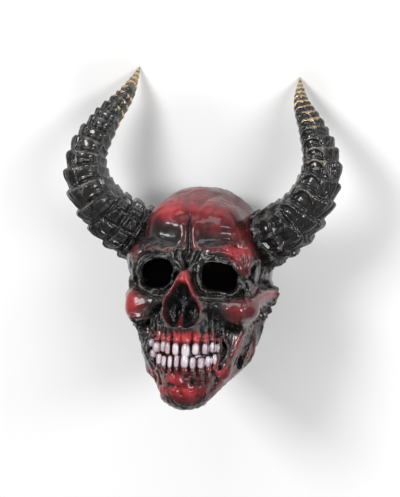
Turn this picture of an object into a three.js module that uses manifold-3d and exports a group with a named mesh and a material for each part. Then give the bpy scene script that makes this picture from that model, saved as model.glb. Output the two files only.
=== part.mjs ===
// A horned demon skull mask of painted latex, lying on its back: a hollow skin that goes right over
// the head, open at the neck and the eyes, with two ringed horns fixed at its temples.
import * as THREE from "three";
import { mergeVertices } from "three/addons/utils/BufferGeometryUtils.js";
import Module from "manifold-3d";

const wasm = await Module();
wasm.setup();

// Driving sizes, in millimetres and degrees. The mask is shaped upright: +X to the viewer's right,
// +Y to the crown, +Z out of the face. Every point with an x off the middle is mirrored.
const WALL = 3.5;
const HORN_GAP = 0.3;
const REST_TILT = 15.5;
const CORE = [0, 5, -12];

// Round masses: the middle, the half sizes, and how softly each runs into what is under it.
const CRANIUM = { at: [0, 41, -18], half: [80.5, 94.5, 97] };
const FACE = { at: [0, -18, 6], half: [66, 92, 68], soft: 22 };
const NECK = { at: [0, -40, -40], half: [54, 86, 56], soft: 30 };
const MUZZLE = { at: [0, -58, 45], half: [44, 60, 45], soft: 12 };
const NOSE_MOUND = { at: [0, -6, 78], half: [29, 38, 28], soft: 12 };
const CHEEKBONE = { at: [54, -9, 50], half: [25, 19, 22], soft: 12 };
const BROW_LUMP = { at: [59, 40, 48], half: [19, 24, 21], soft: 12 };
const FOREHEAD_BOSS = { at: [31, 82, 50], half: [28, 24, 24], soft: 18 };
const CHIN = { at: [0, -105, 59], half: [23, 24, 23], soft: 12 };

// Bars between two points: the radius at each end.
const BROW_INNER = { from: [8, 44, 74], to: [34, 56, 70], radii: [9, 9], soft: 10 };
const BROW_OUTER = { from: [34, 56, 70], to: [60, 46, 54], radii: [9, 11], soft: 10 };
const NASAL_BONE = { from: [0, 40, 76], to: [0, 16, 92], radii: [8, 10], soft: 10 };
const CHEEK_ARCH = { from: [70, -2, 40], to: [82, 8, -28], radii: [10, 8], soft: 6 };
const JAW_BODY = { from: [14, -108, 54], to: [51, -64, 4], radii: [16, 15], soft: 12 };
const JAW_BRANCH = { from: [53, -54, -4], to: [73, -2, -20], radii: [15, 10], soft: 9 };
const CHEEK_STRAP = { from: [60, -22, 40], to: [42, -84, 46], radii: [8, 9], soft: 8 };

// Hollows that are carved in: the middle, the half sizes, and how soft the edge is.
const EYE_SOCKET = { at: [37, 27, 92], half: [27, 22, 22], soft: 8 };
const NOSTRIL = { at: [9, -15, 108], half: [13, 18, 21], soft: 4 };
const NOSE_PEAK = { at: [0, 3, 108], half: [11, 19, 19], soft: 4 };
const CHEEK_HOLLOW = { at: [62, -54, 54], half: [16, 30, 22], soft: 10 };
const TEMPLE_HOLLOW = { at: [98, 32, 4], half: [18, 20, 20], soft: 10 };
const ARCH_SLOT = { at: [90, 20, -4], half: [10, 8, 16], soft: 5 };

// The crack that runs down the middle of the forehead, and the upright plate left standing between
// the two halves of the nose hollow.
const CRACK = { from: [0, 94, 76], to: [0, 42, 88], radii: [3, 5], soft: 5 };
const SEPTUM = { from: [0, -4, 88], to: [0, -33, 96], radii: [3.5, 3.5] };

// The eye openings are cut straight through the wall.
const EYE_HOLE = { at: [37, 28], half: [19.5, 16.5], squareness: 2.8, sides: 16, slant: 6 };

// Two rows of teeth stand round the front of the muzzle.
const TEETH = { perRow: 10, halfArc: 76, archHalfWidth: 41, archDepth: 43, archBack: 46,
  biteLine: -64, smile: 7, halfHeight: 8.4, halfWidth: 5.4, halfDepth: 4.5 };

// The rim in side view, as depth against height, from the nape to below the chin.
const RIM = [[-140, -60], [-60, -60], [-12, -70], [26, -112], [44, -150]];
// The neck opening seen from below, an oval that reaches up inside the jaw.
const NECK_HOLE = { depthAt: -22, halfWidth: 46, halfDepth: 60, top: -82, sides: 24 };

// The horn's middle line from inside the temple to the tip, and its rings.
const HORN_LINE = [[52, 62, -8], [82, 77, 4], [113, 98, 17], [135, 128, 24], [142, 163, 19],
  [126.5, 205, 2], [107, 240, -20], [98, 276, -47.5]];
const HORN = { rootRadius: 34.5, rings: 15, ringDepth: 0.11, sides: 12, flatness: 2.5, turn: 25 };
// Where in each ring the cross-sections stand, and how much of the ring's depth each has.
const RING_SHAPE = [[0, 0], [0.5, 0.55], [0.8, 1]];

// How finely the skin is faceted: columns round the head, rows from crown to neck.
const OUTER_MESH = { columns: 58, rows: 40, frontPull: 0.4, rowPull: 0.42, rowCentre: 0.57 };
const INNER_MESH = { columns: 32, rows: 24, frontPull: 0.55, rowPull: 0.2, rowCentre: 0.57 };
const INNER_REACH = 3;

const deg = Math.PI / 180;
const mix = (a, b, t) => a + (b - a) * t;
const join = (a, b, soft) => {
  const h = Math.max(soft - Math.abs(a - b), 0) / soft;
  return Math.min(a, b) - (h * h * soft) / 4;
};
const carve = (a, b, soft) => -join(-a, b, soft);

// Distances from a point to a round mass and to a bar, negative inside.
function toMass([x, y, z], { at, half }) {
  const p = [(x - at[0]) / half[0], (y - at[1]) / half[1], (z - at[2]) / half[2]];
  const outer = Math.hypot(...p);
  const slope = Math.hypot(p[0] / half[0], p[1] / half[1], p[2] / half[2]);
  return slope < 1e-9 ? -Math.min(...half) : (outer * (outer - 1)) / slope;
}

function toBar(p, { from, to, radii }) {
  const run = to.map((v, i) => v - from[i]);
  const rel = p.map((v, i) => v - from[i]);
  const dot = rel.reduce((sum, v, i) => sum + v * run[i], 0);
  const t = Math.min(1, Math.max(0, dot / run.reduce((sum, v) => sum + v * v, 0)));
  return Math.hypot(...rel.map((v, i) => v - run[i] * t)) - mix(radii[0], radii[1], t);
}

// The outer form of the mask, as a distance that is negative inside.
function skullForm(x, y, z) {
  const p = [x, y, z];
  const m = [Math.abs(x), y, z];
  let d = toMass(p, CRANIUM);
  for (const mass of [FACE, NECK, MUZZLE]) d = join(d, toMass(p, mass), mass.soft);
  d = carve(d, toMass(m, CHEEK_HOLLOW), CHEEK_HOLLOW.soft);
  d = carve(d, toMass(m, TEMPLE_HOLLOW), TEMPLE_HOLLOW.soft);
  for (const mass of [NOSE_MOUND, CHIN]) d = join(d, toMass(p, mass), mass.soft);
  for (const mass of [FOREHEAD_BOSS, CHEEKBONE]) d = join(d, toMass(m, mass), mass.soft);
  for (const bar of [JAW_BODY, JAW_BRANCH, CHEEK_STRAP, CHEEK_ARCH, BROW_INNER, BROW_OUTER, NASAL_BONE])
    d = join(d, toBar(m, bar), bar.soft);
  d = carve(d, toMass(m, EYE_SOCKET), EYE_SOCKET.soft);
  d = join(d, toMass(m, BROW_LUMP), BROW_LUMP.soft);
  for (const hollow of [NOSTRIL, NOSE_PEAK, ARCH_SLOT]) d = carve(d, toMass(m, hollow), hollow.soft);
  d = carve(d, toBar(p, CRACK), CRACK.soft);
  return join(d, toBar(p, SEPTUM), 2);
}

// How far the form, grown by a margin, reaches from the core along a direction.
function reach(direction, margin) {
  const at = (r) => skullForm(...CORE.map((c, i) => c + direction[i] * r)) - margin;
  let low = 165;
  let high = low;
  for (let gap = at(low); gap > 0 && low > 20; gap = at(low)) {
    high = low;
    low -= Math.max(1, gap * 0.6);
  }
  for (let i = 0; i < 14; i++) {
    const middle = (low + high) / 2;
    if (at(middle) > 0) high = middle;
    else low = middle;
  }
  return low;
}

// A closed mesh as a solid, and back.
function solidOf(geometry, matrix) {
  const bare = new THREE.BufferGeometry().setAttribute("position", geometry.getAttribute("position").clone());
  bare.setIndex(geometry.index);
  if (matrix) bare.applyMatrix4(matrix);
  const merged = mergeVertices(bare, 1e-3);
  const corners = merged.index.array;
  const kept = [];
  for (let i = 0; i < corners.length; i += 3) {
    const [a, b, c] = corners.slice(i, i + 3);
    if (a !== b && b !== c && a !== c) kept.push(a, b, c);
  }
  return new wasm.Manifold(new wasm.Mesh({ numProp: 3,
    vertProperties: merged.attributes.position.array, triVerts: new Uint32Array(kept) }));
}

function geometryOf(solid) {
  const { vertProperties, triVerts } = solid.getMesh();
  const geometry = new THREE.BufferGeometry();
  geometry.setAttribute("position", new THREE.BufferAttribute(new Float32Array(vertProperties), 3));
  geometry.setIndex(new THREE.BufferAttribute(new Uint32Array(triVerts), 1));
  geometry.computeVertexNormals();
  return geometry;
}

// A sphere's grid, gathered towards the face, with each vertex sent out by a rule of its direction.
function headMesh({ columns, rows, frontPull, rowPull, rowCentre }, radiusOf) {
  const sphere = new THREE.SphereGeometry(1, columns, rows);
  const uv = sphere.getAttribute("uv");
  const position = sphere.getAttribute("position");
  const turn = 2 * Math.PI;
  for (let i = 0; i < position.count; i++) {
    const across = 2 * (uv.getX(i) % 1) - 1;
    const down = 1 - uv.getY(i);
    const azimuth = Math.PI * mix(across ** 3, across, frontPull);
    const shift = Math.sin(turn * (down - rowCentre)) + Math.sin(turn * rowCentre);
    const polar = position.getY(i) ** 2 > 0.999999 ? Math.PI * Math.round(down)
      : Math.PI * (down - (rowPull / turn) * shift);
    const flat = Math.sin(polar);
    const direction = [Math.sin(azimuth) * flat, Math.cos(polar), Math.cos(azimuth) * flat];
    const r = radiusOf(direction);
    position.setXYZ(i, ...CORE.map((c, k) => c + direction[k] * r));
  }
  return sphere;
}

function skinOutside(margin) {
  return solidOf(headMesh(OUTER_MESH, (direction) => reach(direction, margin)));
}

// The inside keeps the wall's thickness behind the lowest nearby point of the outside, so that its
// wide facets don't come near the bottom of a hollow.
function skinInside() {
  return solidOf(headMesh(INNER_MESH, (direction) => {
    const aim = new THREE.Vector3(...direction);
    const side = new THREE.Vector3(-aim.z, 0.01, aim.x).normalize();
    let least = reach(direction, -WALL);
    for (let k = 0; k < 8; k++) {
      const axis = side.clone().applyAxisAngle(aim, (k * Math.PI) / 4);
      least = Math.min(least, reach(aim.clone().applyAxisAngle(axis, INNER_REACH * deg).toArray(), -WALL));
    }
    return least;
  }));
}

// What is cut away below the rim, and the oval that opens the floor of the jaw.
function neckOpening() {
  const far = 240;
  const outline = [...RIM, [RIM.at(-1)[0], -far], [RIM[0][0], -far]];
  const sideShape = new THREE.Shape(outline.map(([z, y]) => new THREE.Vector2(-z, y)));
  const below = new THREE.ExtrudeGeometry(sideShape, { depth: far, bevelEnabled: false });
  below.translate(0, 0, -far / 2).rotateY(Math.PI / 2);
  const { depthAt, halfWidth, halfDepth, top, sides } = NECK_HOLE;
  const height = far + top;
  const oval = new THREE.CylinderGeometry(1, 1, height, sides).scale(halfWidth, 1, halfDepth);
  return solidOf(below).add(solidOf(oval.translate(0, top - height / 2, depthAt)));
}

function eyeHole(side) {
  const { at, half, squareness, sides, slant } = EYE_HOLE;
  const points = [];
  for (let i = 0; i < sides; i++) {
    const a = (i / sides) * 2 * Math.PI;
    const bend = (v) => Math.sign(v) * Math.abs(v) ** (2 / squareness);
    const x = half[0] * bend(Math.cos(a));
    const y = half[1] * bend(Math.sin(a)) - Math.tan(slant * deg) * x;
    points.push(new THREE.Vector2(side * (at[0] + x), at[1] + y));
  }
  if (side < 0) points.reverse();
  const hole = new THREE.ExtrudeGeometry(new THREE.Shape(points), { depth: 130, bevelEnabled: false });
  return solidOf(hole.translate(0, 0, 10));
}

function tooth(row, index) {
  const { perRow, halfArc, archHalfWidth, archDepth, archBack, biteLine, smile } = TEETH;
  const along = ((index + 0.5) / perRow) * 2 - 1;
  const angle = along * halfArc * deg;
  const y = biteLine + smile * (1 - Math.cos(angle)) + row * TEETH.halfHeight;
  const size = new THREE.Vector3(TEETH.halfWidth, TEETH.halfHeight, TEETH.halfDepth);
  const shape = new THREE.SphereGeometry(1, 8, 4);
  const position = shape.getAttribute("position");
  const square = (v) => Math.sign(v) * Math.abs(v) ** 0.6;
  for (let i = 0; i < position.count; i++)
    position.setXYZ(i, square(position.getX(i)), square(position.getY(i)), square(position.getZ(i)));
  const place = new THREE.Matrix4().compose(
    new THREE.Vector3(archHalfWidth * Math.sin(angle), y, archBack + archDepth * Math.cos(angle)),
    new THREE.Quaternion().setFromAxisAngle(new THREE.Vector3(0, 1, 0), angle), size);
  return solidOf(shape, place);
}

// A horn is a turned profile of rings, bent along its middle line, with a squarish section.
function horn(side) {
  const line = new THREE.CatmullRomCurve3(HORN_LINE.map(([x, y, z]) => new THREE.Vector3(side * x, y, z)));
  const { rootRadius, rings, ringDepth, sides, flatness, turn } = HORN;
  const profile = [[0, 0]];
  for (let ring = 0; ring < rings; ring++)
    for (const [part, lift] of RING_SHAPE) {
      const share = (ring + part) / rings;
      const t = (Math.sqrt(0.5625 + share) - 0.75) / 0.5;
      const body = rootRadius * (1 - t ** 1.5) ** 0.85;
      profile.push([body * (1 - ringDepth * (1 - lift)), t]);
    }
  profile.push([0, 1]);
  const lathe = new THREE.LatheGeometry(profile.map(([r, t]) => new THREE.Vector2(r, t)), sides);
  const position = lathe.getAttribute("position");
  const point = new THREE.Vector3();
  const forward = new THREE.Vector3(0, 0, 1);
  for (let i = 0; i < position.count; i++) {
    point.fromBufferAttribute(position, i);
    const t = point.y;
    const tangent = line.getTangentAt(t);
    const front = forward.clone().addScaledVector(tangent, -tangent.dot(forward)).normalize();
    const out = new THREE.Vector3().crossVectors(tangent, front);
    const round = Math.atan2(point.x, point.z);
    const r = Math.hypot(point.x, point.z);
    const a = round - side * turn * deg;
    const square = (Math.abs(Math.cos(a)) ** flatness + Math.abs(Math.sin(a)) ** flatness) ** (-1 / flatness);
    const place = line.getPointAt(t)
      .addScaledVector(front, r * square * Math.cos(round))
      .addScaledVector(out, r * square * Math.sin(round));
    position.setXYZ(i, place.x, place.y, place.z);
  }
  return solidOf(lathe);
}

// The mask lies tipped back, so that its horn tips and the back of its head share one level.
const laid = new THREE.Matrix4().makeRotationX(-REST_TILT * deg);
const roundHead = skinOutside(HORN_GAP);
const horns = [-1, 1].map((side) => horn(side).subtract(roundHead).decompose()
  .reduce((a, b) => (a.volume() > b.volume() ? a : b)));
const boxOf = (solid) => new THREE.Box3().setFromBufferAttribute(
  geometryOf(solid).applyMatrix4(laid).getAttribute("position"));
const floor = boxOf(horns[0]).min.z;

function below(level) {
  const slab = new THREE.BoxGeometry(500, 900, 200).translate(0, 0, level - 100);
  return solidOf(slab, laid.clone().invert());
}

let teeth = [];
for (const row of [-1, 1])
  for (let i = 0; i < TEETH.perRow; i++) teeth.push(tooth(row, i));
const outside = teeth.reduce((skin, one) => skin.add(one), skinOutside(0)).subtract(below(floor));
const inside = skinInside().subtract(below(floor + WALL));
const skin = [-1, 1].reduce((solid, side) => solid.subtract(eyeHole(side)),
  outside.subtract(inside).subtract(neckOpening()));

const paint = (color, roughness) => new THREE.MeshStandardMaterial({ color, roughness, metalness: 0 });
const mask = new THREE.Group();
mask.rotation.x = -REST_TILT * deg;
const pieces = [["skull_skin", skin, paint(0x6b1118, 0.35)], ["horn_right_hand", horns[0], paint(0x17181a, 0.4)],
  ["horn_left_hand", horns[1], paint(0x17181a, 0.4)]];
const whole = new THREE.Box3();
for (const [name, solid, material] of pieces) {
  const mesh = new THREE.Mesh(geometryOf(solid), material);
  mesh.name = name;
  mask.add(mesh);
  whole.union(boxOf(solid));
}
mask.position.set(0, -(whole.min.y + whole.max.y) / 2, -floor);

export default mask;
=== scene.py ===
import math

import bmesh
import bpy
import numpy as np
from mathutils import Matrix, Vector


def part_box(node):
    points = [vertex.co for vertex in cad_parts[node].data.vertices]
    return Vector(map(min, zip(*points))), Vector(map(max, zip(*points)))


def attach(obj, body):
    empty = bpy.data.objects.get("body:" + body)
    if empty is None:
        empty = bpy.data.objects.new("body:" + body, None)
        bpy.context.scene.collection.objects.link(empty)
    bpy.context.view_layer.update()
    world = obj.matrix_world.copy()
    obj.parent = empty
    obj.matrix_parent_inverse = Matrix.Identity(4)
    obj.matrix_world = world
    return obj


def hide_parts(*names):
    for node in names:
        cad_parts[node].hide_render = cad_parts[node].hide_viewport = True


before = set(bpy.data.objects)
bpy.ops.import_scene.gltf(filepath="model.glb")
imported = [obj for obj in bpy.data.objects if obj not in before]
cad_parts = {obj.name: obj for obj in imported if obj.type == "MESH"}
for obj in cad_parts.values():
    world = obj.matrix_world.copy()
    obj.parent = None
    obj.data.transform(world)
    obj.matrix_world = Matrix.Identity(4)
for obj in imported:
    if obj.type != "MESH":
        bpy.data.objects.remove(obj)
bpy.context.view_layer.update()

import openvdb
from mathutils import Matrix, Vector

# The skull skin. One hollow skin of latex, slush cast in a mould of the sculpted skull, teeth and
# all, 3 to 4 mm thick, and open at the neck and the eyes.

# The sculpture is worked here as a block of clay: a grid of distances to the surface in millimetres,
# negative inside. It stands upright: x is to the viewer's right, y to the crown and z out of the face.
VOXEL = 1.0
BLOCK_LOW = np.array([-96.0, -142.0, -122.0])
BLOCK_HIGH = np.array([96.0, 146.0, 112.0])
WALL = 3.4
block_count = np.ceil((BLOCK_HIGH - BLOCK_LOW) / VOXEL).astype(int)
grid_x, grid_y, grid_z = (
    (BLOCK_LOW[i] + VOXEL * np.arange(block_count[i])).astype(np.float32) for i in range(3))
FAR_AWAY = 40.0
clay = np.full(block_count, FAR_AWAY, dtype=np.float32)


def window(low, high):
    """The part of the block between two corners, and its coordinates."""
    first = np.clip(((np.array(low) - BLOCK_LOW) / VOXEL).astype(int), 0, block_count - 1)
    last = np.clip(((np.array(high) - BLOCK_LOW) / VOXEL).astype(int) + 2, 1, block_count)
    cut = tuple(slice(a, b) for a, b in zip(first, last))
    x = grid_x[cut[0], None, None]
    y = grid_y[None, cut[1], None]
    z = grid_z[None, None, cut[2]]
    return cut, x, y, z


def lump(at, half, power=2.0, turn=0.0):
    """A round or squarish mass, turned about the upright axis."""
    c, s = math.cos(turn), math.sin(turn)
    reach = max(half[0], half[2]) if turn else None
    size = (reach, half[1], reach) if turn else half

    def distance(x, y, z):
        dx, dy, dz = x - at[0], y - at[1], z - at[2]
        parts = ((dx * c - dz * s) / half[0], dy / half[1], (dx * s + dz * c) / half[2])
        if power != 2.0:
            outer = sum(np.abs(p) ** power for p in parts) ** (1 / power)
            return (outer - 1) * min(half)
        outer = np.maximum(np.sqrt(sum(p * p for p in parts)), 1e-3)
        slope = np.maximum(np.sqrt(sum((p / h) ** 2 for p, h in zip(parts, half))), 1e-5)
        return outer * (outer - 1) / slope
    return distance, [a - h for a, h in zip(at, size)], [a + h for a, h in zip(at, size)]


def rod(start, end, radii):
    """A round bar between two points, with a radius at each end."""
    start, end = np.array(start, dtype=np.float32), np.array(end, dtype=np.float32)
    run = end - start

    def distance(x, y, z):
        dx, dy, dz = x - start[0], y - start[1], z - start[2]
        t = np.clip((dx * run[0] + dy * run[1] + dz * run[2]) / float(run @ run), 0, 1)
        away = np.sqrt((dx - run[0] * t) ** 2 + (dy - run[1] * t) ** 2 + (dz - run[2] * t) ** 2)
        return away - (radii[0] + (radii[1] - radii[0]) * t)
    r = max(radii)
    return distance, np.minimum(start, end) - r, np.maximum(start, end) + r


def blend_min(a, b, soft):
    """The smaller of two distances, with a soft fillet where they meet."""
    h = np.maximum(soft - np.abs(a - b), 0) / soft
    return np.minimum(a, b) - h * h * soft / 4


def put_on(form, soft):
    """Clay is put on, with a fillet as wide as soft."""
    distance, low, high = form
    cut, x, y, z = window(np.array(low) - soft - 3, np.array(high) + soft + 3)
    clay[cut] = blend_min(clay[cut], distance(x, y, z), soft)


def carve_out(form, soft):
    """The form is carved out of the clay, with a soft edge."""
    distance, low, high = form
    cut, x, y, z = window(np.array(low) - soft - 1, np.array(high) + soft + 1)
    clay[cut] = -blend_min(-clay[cut], distance(x, y, z), soft)


def flipped(point):
    return (-point[0],) + tuple(point[1:])


def lump_pair(at, half):
    """A lump and its mirror image."""
    return [lump(at, half), lump(flipped(at), half)]


def rod_pair(start, end, radii):
    return [rod(start, end, radii), rod(flipped(start), flipped(end), radii)]


def put_all(forms, soft):
    for form in forms:
        put_on(form, soft)


def carve_all(forms, soft):
    for form in forms:
        carve_out(form, soft)


# The great masses of the skull. First the cranium, the face, the nape and the muzzle.
put_on(lump((0, 41, -18), (80.5, 94.5, 97)), 1)
put_on(lump((0, -18, 6), (66, 92, 68)), 22)
put_on(lump((0, -40, -40), (54, 86, 56)), 30)
put_on(lump((0, -58, 45), (44, 60, 45)), 12)
# The hollows of the cheeks and the temples, then the upper jaw, the chin and the forehead's bosses.
carve_all(lump_pair((62, -54, 54), (16, 30, 22)), 10)
carve_all(lump_pair((98, 32, 4), (18, 20, 20)), 10)
put_on(lump((0, -6, 78), (29, 38, 28)), 12)
put_on(lump((0, -105, 59), (23, 24, 23)), 12)
put_all(lump_pair((26, 82, 44), (29, 27, 26)), 24)
# The cheek bones, squarer and fuller on the viewer's left.
put_on(lump((-53, -10, 50), (24.5, 21, 24), 2.8), 8)
put_on(rod((-66.5, -4, 45), (-66.5, 14, 42), (11, 9.5)), 6)
put_on(lump((56, -9, 50), (26, 18, 23)), 8)
put_all(rod_pair((26, -2, 71), (50, -10, 60), (6.5, 11)), 6)
# The lower jaw with its upright branches, the straps from cheek to jaw, and the cheek arches.
put_all(rod_pair((14, -108, 54), (51, -64, 4), (16, 15)), 12)
put_all(rod_pair((53, -54, -4), (73, -2, -20), (15, 10)), 9)
put_all(rod_pair((60, -22, 40), (42, -84, 46), (8, 9)), 8)
put_all(rod_pair((70, -2, 40), (82, 8, -28), (10, 8)), 6)
# The brows, the bridge of the nose, the eye sockets and the masses at the temples.
put_all(rod_pair((8, 44, 74), (34, 56, 70), (9, 9)), 10)
put_all(rod_pair((34, 56, 70), (60, 46, 54), (9, 11)), 10)
put_on(rod((0, 40, 76), (0, 16, 92), (8, 10)), 10)
carve_all(lump_pair((37, 27, 94), (27, 22, 22)), 8)
put_all(lump_pair((59, 40, 48), (19, 24, 21)), 12)
put_on(lump((60, 51, 50), (15, 15, 15)), 6)
put_on(lump((65, 37, 44), (7, 10, 9)), 5)
carve_all(lump_pair((90, 20, -4), (10, 8, 16)), 5)


def ramp(x, start, end):
    """A soft step, from 0 at start to 1 at end."""
    t = np.clip((x - start) / (end - start), 0, 1)
    return t * t * (3 - 2 * t)


def softened(field, reach, passes=2):
    """The field averaged over a reach in voxels."""
    for _ in range(passes):
        for axis in range(3):
            padded = np.concatenate([np.repeat(field.take([0], axis), reach + 1, axis), field,
                                     np.repeat(field.take([-1], axis), reach, axis)], axis)
            total = np.cumsum(padded, axis, dtype=np.float64)
            length = field.shape[axis]
            high = total.take(range(2 * reach + 1, 2 * reach + 1 + length), axis)
            low = total.take(range(length), axis)
            field = ((high - low) / (2 * reach + 1)).astype(np.float32)
    return field


# The forehead is rubbed smooth, so that its bosses run into the crown without an edge.
cut, x, y, z = window((-96, 46, -60), (96, 146, 112))
rubbed = softened(np.clip(clay[cut], -24, 24), 6) - 0.5
clay[cut] += (rubbed - clay[cut]) * ramp(y, 50, 66) * ramp(z, -40, -10) * (np.abs(clay[cut]) < 20)


def smooth_path(path, spans=6):
    """A given path, rounded through its points."""
    p = np.array(path, dtype=np.float64)
    if len(p) == 2:
        return p
    p = np.vstack([2 * p[0] - p[1], p, 2 * p[-1] - p[-2]])
    u = np.linspace(0, 1, spans, endpoint=False)[:, None]
    out = []
    for a, b, c, d in zip(p[:-3], p[1:-2], p[2:-1], p[3:]):
        before, here, after = (np.sqrt(np.linalg.norm(w - v)) for v, w in ((a, b), (b, c), (c, d)))
        leave = ((b - a) / before - (c - a) / (before + here) + (c - b) / here) * here
        arrive = ((c - b) / here - (d - b) / (here + after) + (d - c) / after) * here
        out.append(b + leave * u + (3 * (c - b) - 2 * leave - arrive) * u ** 2
                   + (2 * (b - c) + leave + arrive) * u ** 3)
    return np.vstack(out + [p[-2:-1]])


def stroke(u, v, path, width, height=1.0):
    """A drawn line on a plane: its height at each place, falling off over its width. Width and
    height are numbers, or pairs for the two ends of the line."""
    w0, w1 = np.broadcast_to(width, 2)
    h0, h1 = np.broadcast_to(height, 2)
    line = smooth_path(path)
    reach = 2.4 * max(w0, w1)
    low, high = line.min(0) - reach, line.max(0) + reach
    near = (u > low[0]) & (u < high[0]) & (v > low[1]) & (v < high[1])
    out = np.zeros(u.shape, dtype=np.float32)
    pu, pv = u[near], v[near]
    best = np.full(pu.shape, 1e9)
    place = np.zeros(pu.shape)
    for k, (a, b) in enumerate(zip(line[:-1], line[1:])):
        run = b - a
        t = np.clip(((pu - a[0]) * run[0] + (pv - a[1]) * run[1]) / max(run @ run, 1e-9), 0, 1)
        away = np.hypot(pu - a[0] - run[0] * t, pv - a[1] - run[1] * t)
        closer = away < best
        best = np.where(closer, away, best)
        place = np.where(closer, (k + t) / (len(line) - 1), place)
    w = w0 + (w1 - w0) * place
    out[near] = (h0 + (h1 - h0) * place) * np.exp(-(best / w) ** 2)
    return out


def dab(u, v, at, size, height=1.0):
    """A soft oval spot on a plane."""
    return height * np.exp(-((u - at[0]) / size[0]) ** 2 - ((v - at[1]) / size[1]) ** 2)


# The folds, ridges and furrows of the face, seen from the front: path, width, height. The ones in
# the first list are on both sides.
FACE_FOLDS_PAIR = [
    ([(8.5, 54), (6.5, 46), (2.5, 38)], (2.3, 1.3), (4.6, 1.0)),
    ([(18, 52), (14.5, 45), (6, 38)], (2.6, 1.3), (4.4, 0.8)),
    ([(12.7, 55), (10, 46), (4, 38)], 1.3, -3.0),
    ([(3.6, 55), (3, 46), (0.5, 38)], 1.2, -2.6),
    ([(21, 49), (28, 54), (40, 56), (52, 53)], 1.9, 2.0),
    ([(13, 32), (18, 20), (25, 9)], 2.0, 1.6),
    ([(8, 29), (14, 14), (22, 3)], 1.5, -1.8),
    ([(18, 4), (30, 2.5), (42, 4), (54, 9), (61, 17)], 2.1, 2.6),
    ([(20, 1), (34, 0), (46, 1), (58, 6)], 1.2, -1.4),
    ([(2, 31), (10, 14), (18, 1), (22, -9), (21, -21), (13, -30), (4, -33)], 2.4, 3.2),
    ([(26, -15), (28, -26), (27, -36)], 1.5, 1.8),
    ([(31, -15), (33, -28), (32, -40)], 1.5, 2.0),
    ([(35, -17), (38, -30), (37, -43)], 1.5, 2.0),
    ([(39, -20), (43, -32), (42, -46)], 1.6, 2.0),
    ([(43, -24), (47, -36), (46, -47)], 1.6, 1.8),
    ([(42, -42), (48, -52), (48, -62), (42, -72), (32, -81)], 2.2, 3.4),
    ([(38, -40), (43, -50), (43, -60), (38, -70)], 2.4, -2.4),
    ([(66, -26), (61, -42), (54, -60), (47, -74), (38, -86)], 3.6, 3.6),
    ([(66, -42), (61, -60), (55, -78)], 1.8, -5.0),
    ([(70, -34), (66, -52), (60, -72)], 2.0, 1.8),
]
FACE_FOLDS = [
    ([(-1, 96), (-1, 82), (0, 66), (0, 38)], (1.3, 3.2), (-2.4, -6.5)),
    ([(-56, 62), (-36, 60), (-16, 59), (-9, 69), (-8, 86)], 5.0, 1.9),
    ([(7, 90), (5, 76), (9, 63), (22, 59), (45, 62)], 5.0, 1.9),
    ([(-18, 95), (-8, 98), (6, 96)], 3.2, -0.8),
    ([(-3, 100), (-7, 115), (-12, 128)], 3.0, -0.8),
    ([(6, 100), (14, 114), (26, 124)], 3.0, -0.8),
    ([(-14, 104), (-16, 116), (-22, 126)], 3.4, 0.8),
    ([(10, 104), (18, 112), (24, 108), (22, 98)], 2.8, 0.8),
    ([(-40, 66), (-35, 78), (-26, 86), (-14, 85)], 6.5, 1.0),
    ([(30, 86), (50, 85)], 3.0, 0.7),
    ([(28, 80), (48, 79)], 3.0, -0.6),
    ([(31, 73), (44, 73)], 2.4, 0.5),
    ([(27, -3), (36, -7), (46, -12)], 2.8, 1.7),
    ([(23, -11), (31, -16), (38, -23), (46, -30), (57, -32)], 3.0, -3.6),
    ([(-25, -9), (-34, -14), (-41, -22), (-48, -30), (-59, -35)], 3.0, -4.0),
    ([(23, 46), (31, 51), (44, 52)], 1.5, 1.8),
    ([(44, 64), (50, 56), (56, 46), (62, 36)], 3.4, 1.6),
    ([(60, 67), (68, 63), (72, 52), (69, 38)], 2.8, 2.0),
    ([(53, 64), (58, 59), (60, 53)], 2.6, -1.8),
    ([(61, 50), (63, 44), (63.5, 38)], 1.0, 1.3),
    ([(67, 53), (67, 46), (65.5, 40)], 1.0, 1.3),
    ([(64, 51), (65, 45), (64.5, 39)], 0.9, -1.5),
    ([(48, 44), (53, 37), (58, 30), (65, 26), (72, 32), (76, 45)], 2.0, -3.6),
    ([(60, 25), (63, 19), (64, 12), (68, 6), (74, 3)], 1.8, 2.4),
    ([(68, 4), (70, -1), (69, -11), (65, -21)], 1.7, 1.6),
    ([(67, 36), (71, 22), (71, 10)], 1.6, -2.2),
    ([(76, 48), (77, 34), (75, 22)], 1.8, 1.8),
    ([(-48, 60), (-60, 52), (-72, 44)], 3.4, 1.8),
    ([(-65, 46), (-63, 30), (-70, 20)], 2.6, 1.8),
    ([(-72, 44), (-71, 32), (-76, 24)], 2.2, -1.4),
    ([(-30, -3), (-39, -10), (-45, -19), (-54, -25), (-66, -25)], 3.0, 2.0),
    ([(-66, -15), (-57, -10.5), (-48, -8)], 2.4, 1.0),
    ([(-64, -18), (-56, -16), (-48, -10)], 4.0, -0.9),
    ([(42, -15), (49, -22), (59, -24.5), (68, -19)], 2.8, 1.8),
    ([(50, -8), (54, -18)], 2.4, 1.0),
    ([(63, -9), (65, -15)], 3.0, 1.0),
    ([(-28, -101), (-16, -99), (-8, -100)], 2.0, -1.5),
    ([(-3, -102), (-1, -106), (1, -110)], 2.2, -2.2),
    ([(24, -80), (26, -98)], 1.7, -2.2),
    ([(34, -80), (36, -92), (29, -106)], 2.0, -2.0),
    ([(-30, -82), (-27, -100)], 1.9, -2.0),
    ([(-38, -82), (-36, -98)], 2.0, -1.8),
    ([(-46, -100), (-40, -104), (-30, -112)], 1.8, -1.2),
]
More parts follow.
